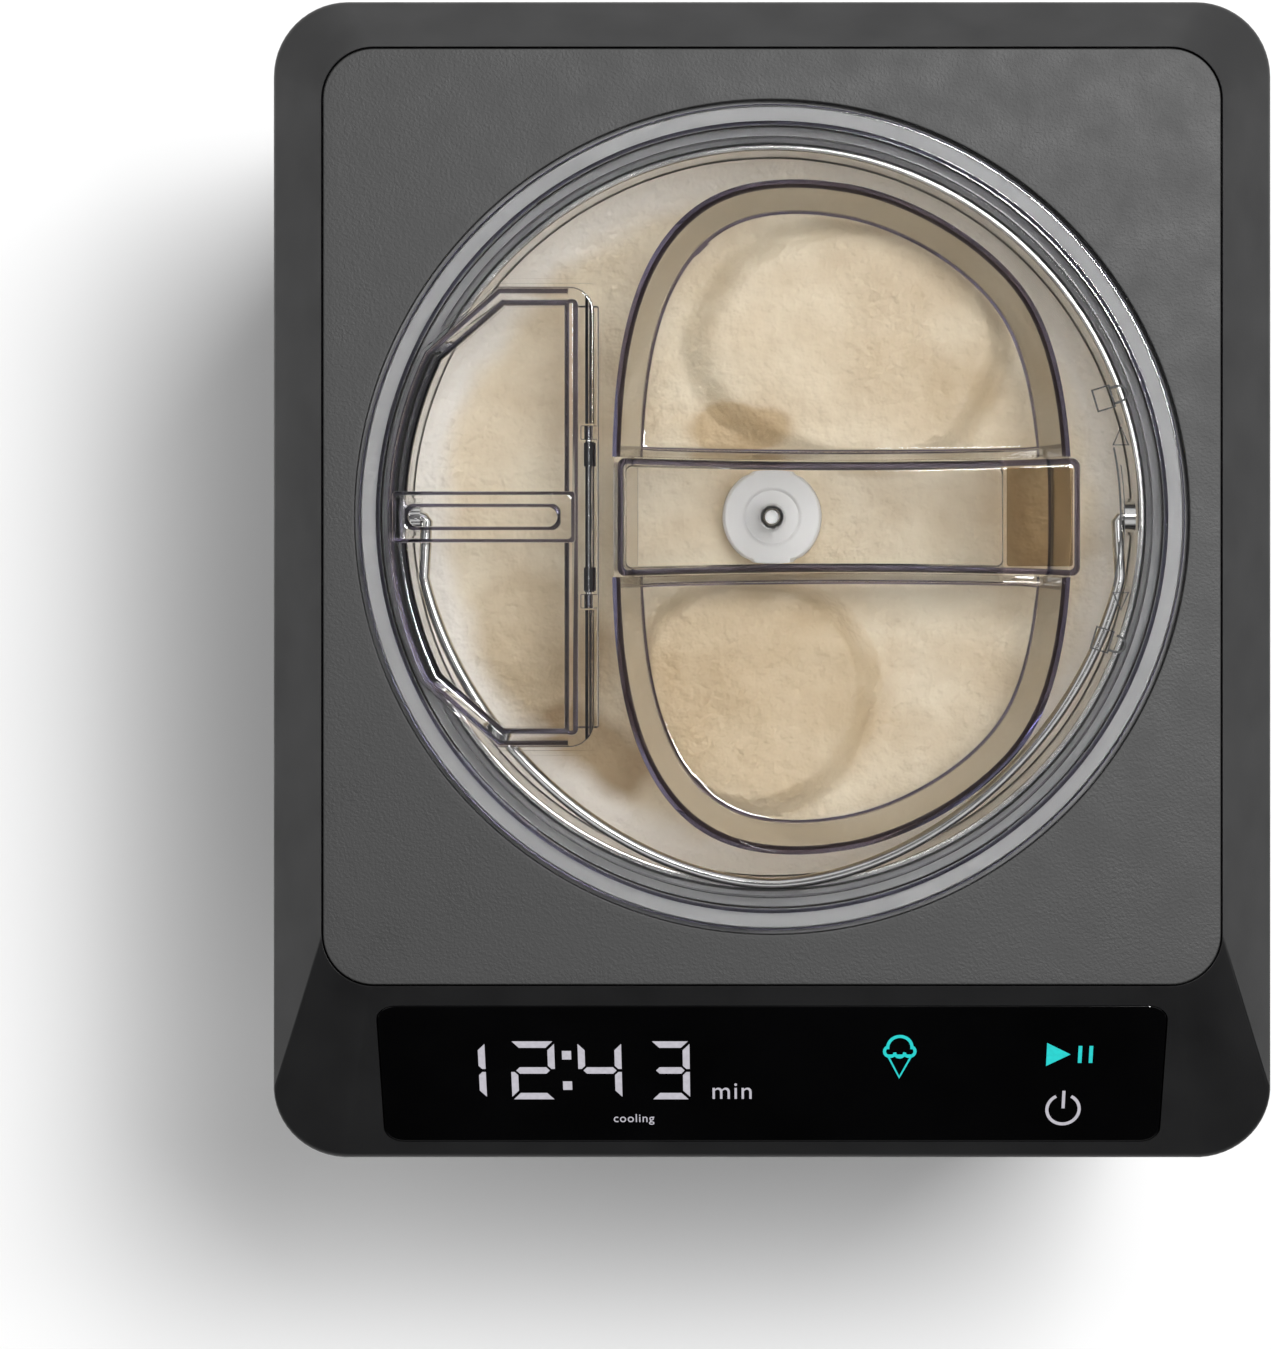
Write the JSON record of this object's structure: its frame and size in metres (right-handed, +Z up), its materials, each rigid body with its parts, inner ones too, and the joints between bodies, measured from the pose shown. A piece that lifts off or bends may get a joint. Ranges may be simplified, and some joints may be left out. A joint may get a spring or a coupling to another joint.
{
  "type": "ice cream maker",
  "caption": "Upright compressor ice cream maker with a clear twist lid, hinged ingredient flap, lift-out bowl, bottom-driven paddle and a sloped touch display.",
  "frame": {"origin": "on the floor, at the middle of the body's footprint", "axes": "+Z up, +X to the right as seen from the display side, -Y towards the display"},
  "size_m": [0.24, 0.28, 0.349],
  "materials": {
    "dark_plastic": "satin",
    "deck_plastic": "matte",
    "black_plastic": "satin",
    "display_glass": "gloss",
    "white_plastic": "satin",
    "clear_plastic": "gloss",
    "grey_silicone": "satin",
    "black_rubber": "matte",
    "brushed_steel": "satin",
    "plated_steel": "polished",
    "aluminium": "satin",
    "copper": "satin",
    "brass": "satin",
    "black_enamel": "satin",
    "foam": "matte",
    "circuit_board": "satin"
  },
  "bodies": {
    "housing": {"base_tray": "dark_plastic", "capillary_tube": "copper", "compressor": "black_enamel", "compressor_grommet_1": "black_rubber", "compressor_grommet_2": "black_rubber", "compressor_grommet_3": "black_rubber", "condenser": "aluminium", "digit_module": "black_plastic", "discharge_pipe": "copper", "display_board": "circuit_board", "display_glass": "display_glass", "drive_motor": "plated_steel", "evaporator_coil": "copper", "fan_frame": "black_plastic", "filter_drier": "copper", "foot_front_left": "black_rubber", "foot_front_right": "black_rubber", "foot_rear_left": "black_rubber", "foot_rear_right": "black_rubber", "gearbox_base": "black_plastic", "gearbox_cover": "black_plastic", "idler_axle": "plated_steel", "insulation_foam": "foam", "lower_casing": "black_enamel", "mid_plate": "dark_plastic", "pillar_front_left": "black_plastic", "pillar_front_right": "black_plastic", "pillar_rear_left": "black_plastic", "pillar_rear_right": "black_plastic", "power_board": "circuit_board", "power_inlet": "black_plastic", "rear_cover": "dark_plastic", "rear_cover_screw_1": "plated_steel", "rear_cover_screw_2": "plated_steel", "rear_cover_screw_3": "plated_steel", "rear_cover_screw_4": "plated_steel", "shaft_bearing": "brass", "shaft_seal": "black_rubber", "suction_pipe": "copper", "top_deck": "deck_plastic", "tub": "aluminium", "tub_gasket": "grey_silicone", "tub_ring": "dark_plastic", "upper_housing": "dark_plastic"},
    "output_drive": {"drive_shaft": "plated_steel", "output_gear": "white_plastic"},
    "idler": {"idler_gear": "white_plastic"},
    "motor_rotor": {"motor_pinion": "brass"},
    "fan_rotor": {"fan_blades": "black_plastic"},
    "bowl": {"mixing_bowl": "brushed_steel", "bail_ear_left": "plated_steel", "bail_ear_right": "plated_steel"},
    "paddle": {"paddle": "white_plastic"},
    "bail": {"bail_handle": "plated_steel"},
    "lid_carrier": {"lid_seal": "grey_silicone"},
    "lid": {"lid": "clear_plastic", "flap_hinge_pin": "plated_steel", "lid_center_pin": "plated_steel"},
    "flap": {"ingredient_flap": "clear_plastic"}
  },
  "joints": [
    {"name": "drive_spin", "type": "hinge", "parent": "housing", "child": "output_drive", "pos_m": [0, 0.016, 0.2], "axis": [0, 0, 1], "continuous": true},
    {"name": "idler_spin", "type": "hinge", "parent": "housing", "child": "idler", "pos_m": [0.0312, -0.002, 0.158], "axis": [0, 0, 1], "continuous": true},
    {"name": "motor_spin", "type": "hinge", "parent": "housing", "child": "motor_rotor", "pos_m": [0.0572, -0.017, 0.152], "axis": [0, 0, 1], "continuous": true},
    {"name": "fan_spin", "type": "hinge", "parent": "housing", "child": "fan_rotor", "pos_m": [0.046, 0.12, 0.069], "axis": [0, 1, 0], "continuous": true},
    {"name": "bowl_lift", "type": "slide", "parent": "housing", "child": "bowl", "axis": [0, 0, 1], "range_m": [0, 0.16]},
    {"name": "paddle_spin", "type": "hinge", "parent": "bowl", "child": "paddle", "pos_m": [0, 0.016, 0.25], "axis": [0, 0, 1], "continuous": true},
    {"name": "lid_lift", "type": "slide", "parent": "bowl", "child": "lid_carrier", "axis": [0, 0, 1], "range_m": [0, 0.25]},
    {"name": "lid_turn", "type": "hinge", "parent": "lid_carrier", "child": "lid", "pos_m": [0, 0.016, 0.3425], "axis": [0, 0, 1], "range_deg": [-20, 0]},
    {"name": "flap_open", "type": "hinge", "parent": "lid", "child": "flap", "pos_m": [-0.0433, 0.016, 0.344], "axis": [0, 1, 0], "range_deg": [0, 95]},
    {"name": "bail_swing", "type": "hinge", "parent": "bowl", "child": "bail", "pos_m": [0, 0.016, 0.3365], "axis": [-1, 0, 0], "range_deg": [0, 90]}
  ],
  "couplings": [
    {"joint": "idler_spin", "follows": "drive_spin", "ratio": -5},
    {"joint": "motor_spin", "follows": "drive_spin", "ratio": 20},
    {"joint": "paddle_spin", "follows": "drive_spin", "ratio": 1},
    {"joint": "bail_swing", "follows": "lid_lift", "rad_per_m": 6.28}
  ]
}
